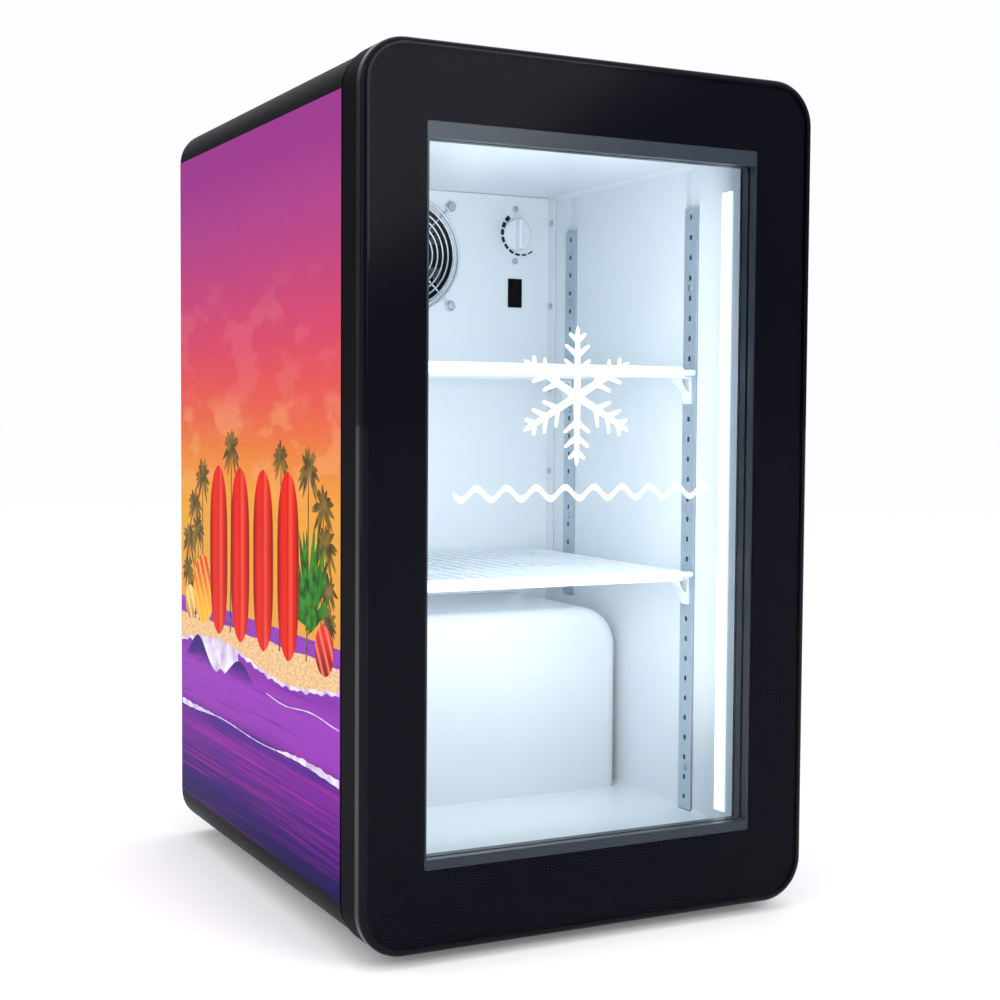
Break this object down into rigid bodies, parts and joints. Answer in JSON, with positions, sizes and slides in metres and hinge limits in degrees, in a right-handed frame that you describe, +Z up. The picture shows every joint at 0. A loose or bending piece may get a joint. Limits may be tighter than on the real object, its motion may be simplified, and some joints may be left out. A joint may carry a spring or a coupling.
{
  "type": "countertop glass-door display cooler",
  "caption": "Countertop display cooler: rounded black cabinet, hinged glazed door, lit white compartment, wire shelves, fan cooling and a rear machine bay.",
  "frame": {"origin": "on the ground under the middle of the cooler's bounding box", "axes": "+Z up, the door faces -Y, +X to the right of a person facing the door"},
  "size_m": [0.43, 0.505, 0.7385],
  "materials": {
    "black_coated_steel": "gloss powder coat",
    "galvanised_steel": "galvanised",
    "printed_film": "printed vinyl, satin",
    "white_liner": "smooth moulded",
    "foam": "rigid foam",
    "black_rubber": "matte",
    "black_plastic": "fine satin",
    "black_ink": "ink behind glass",
    "clear_glass": "polished",
    "dark_spacer": "dark anodised",
    "gloss_trim": "polished",
    "zinc_steel": "zinc plated",
    "white_plastic": "smooth moulded",
    "white_sheet": "satin powder coat",
    "white_wire": "dipped gloss",
    "chrome_wire": "polished",
    "lamp_channel": "satin",
    "lamp_lens": "opal diffuser",
    "aluminium_coil": "mill",
    "copper": "drawn copper tube"
  },
  "bodies": {
    "cabinet": {"base_plate": "galvanised_steel", "compressor": "black_coated_steel", "compressor_grommets": "black_rubber", "compressor_relay_box": "black_plastic", "condenser": "aluminium_coil", "condenser_fan_frame": "black_plastic", "cover_screws": "zinc_steel", "discharge_pipe": "copper", "drain_tray": "black_plastic", "drain_tube": "black_plastic", "evaporator": "aluminium_coil", "evaporator_cover": "white_sheet", "evaporator_fan_frame": "black_plastic", "fan_guard": "chrome_wire", "fan_screws": "zinc_steel", "filter_drier": "copper", "foam_insulation": "foam", "front_frame": "black_coated_steel", "hinge_bracket_lower": "black_coated_steel", "hinge_bracket_upper": "black_coated_steel", "hinge_pins": "zinc_steel", "hinge_screws": "zinc_steel", "inner_liner": "white_liner", "led_channel": "lamp_channel", "led_lens": "lamp_lens", "left_side_film": "printed_film", "light_switch_body": "black_plastic", "lower_shelf_clips": "white_plastic", "machine_bay_divider": "galvanised_steel", "outer_shell": "black_coated_steel", "power_inlet": "black_plastic", "rail_screws": "zinc_steel", "rear_grille": "black_coated_steel", "rear_panel": "galvanised_steel", "right_side_film": "printed_film", "rubber_feet": "black_rubber", "shelf_rails_left": "white_sheet", "shelf_rails_right": "white_sheet", "suction_pipe": "copper", "thermostat_body": "black_plastic", "upper_shelf_clips": "white_plastic"},
    "door": {"door_frame": "black_plastic", "front_glass": "clear_glass", "border_mask": "black_ink", "front_spacer": "dark_spacer", "middle_glass": "clear_glass", "rear_spacer": "dark_spacer", "rear_glass": "clear_glass", "trim_corners": "gloss_trim", "trim_sides": "gloss_trim", "trim_ends": "gloss_trim", "door_gasket": "black_rubber", "gasket_magnet": "black_rubber", "hinge_bushes": "white_plastic"},
    "evaporator_fan": {"evaporator_fan_rotor": "black_plastic"},
    "condenser_fan": {"condenser_fan_rotor": "black_plastic"},
    "thermostat_dial": {"thermostat_knob": "white_plastic"},
    "light_rocker": {"light_switch_rocker": "black_plastic"},
    "upper_shelf_body": {"upper_shelf": "white_wire"},
    "lower_shelf_body": {"lower_shelf": "white_wire"}
  },
  "joints": [
    {"name": "door_hinge", "type": "hinge", "parent": "cabinet", "child": "door", "pos_m": [0.203, -0.2285, 0.374], "axis": [0, 0, 1], "range_deg": [0, 100]},
    {"name": "evaporator_fan_spin", "type": "hinge", "parent": "cabinet", "child": "evaporator_fan", "pos_m": [0, 0.1555, 0.6125], "axis": [0, 1, 0], "continuous": true},
    {"name": "condenser_fan_spin", "type": "hinge", "parent": "cabinet", "child": "condenser_fan", "pos_m": [-0.105, 0.17, 0.092], "axis": [0, 1, 0], "continuous": true},
    {"name": "thermostat_turn", "type": "hinge", "parent": "cabinet", "child": "thermostat_dial", "pos_m": [0.13, 0.1555, 0.639], "axis": [0, 1, 0], "range_deg": [-135, 135]},
    {"name": "light_switch_press", "type": "hinge", "parent": "cabinet", "child": "light_rocker", "pos_m": [0.13, 0.1595, 0.5765], "axis": [1, 0, 0], "range_deg": [-14, 0]},
    {"name": "upper_shelf_lift", "type": "slide", "parent": "cabinet", "child": "upper_shelf_body", "axis": [0, 0, 1], "range_m": [0, 0.012]},
    {"name": "lower_shelf_lift", "type": "slide", "parent": "cabinet", "child": "lower_shelf_body", "axis": [0, 0, 1], "range_m": [0, 0.012]}
  ]
}
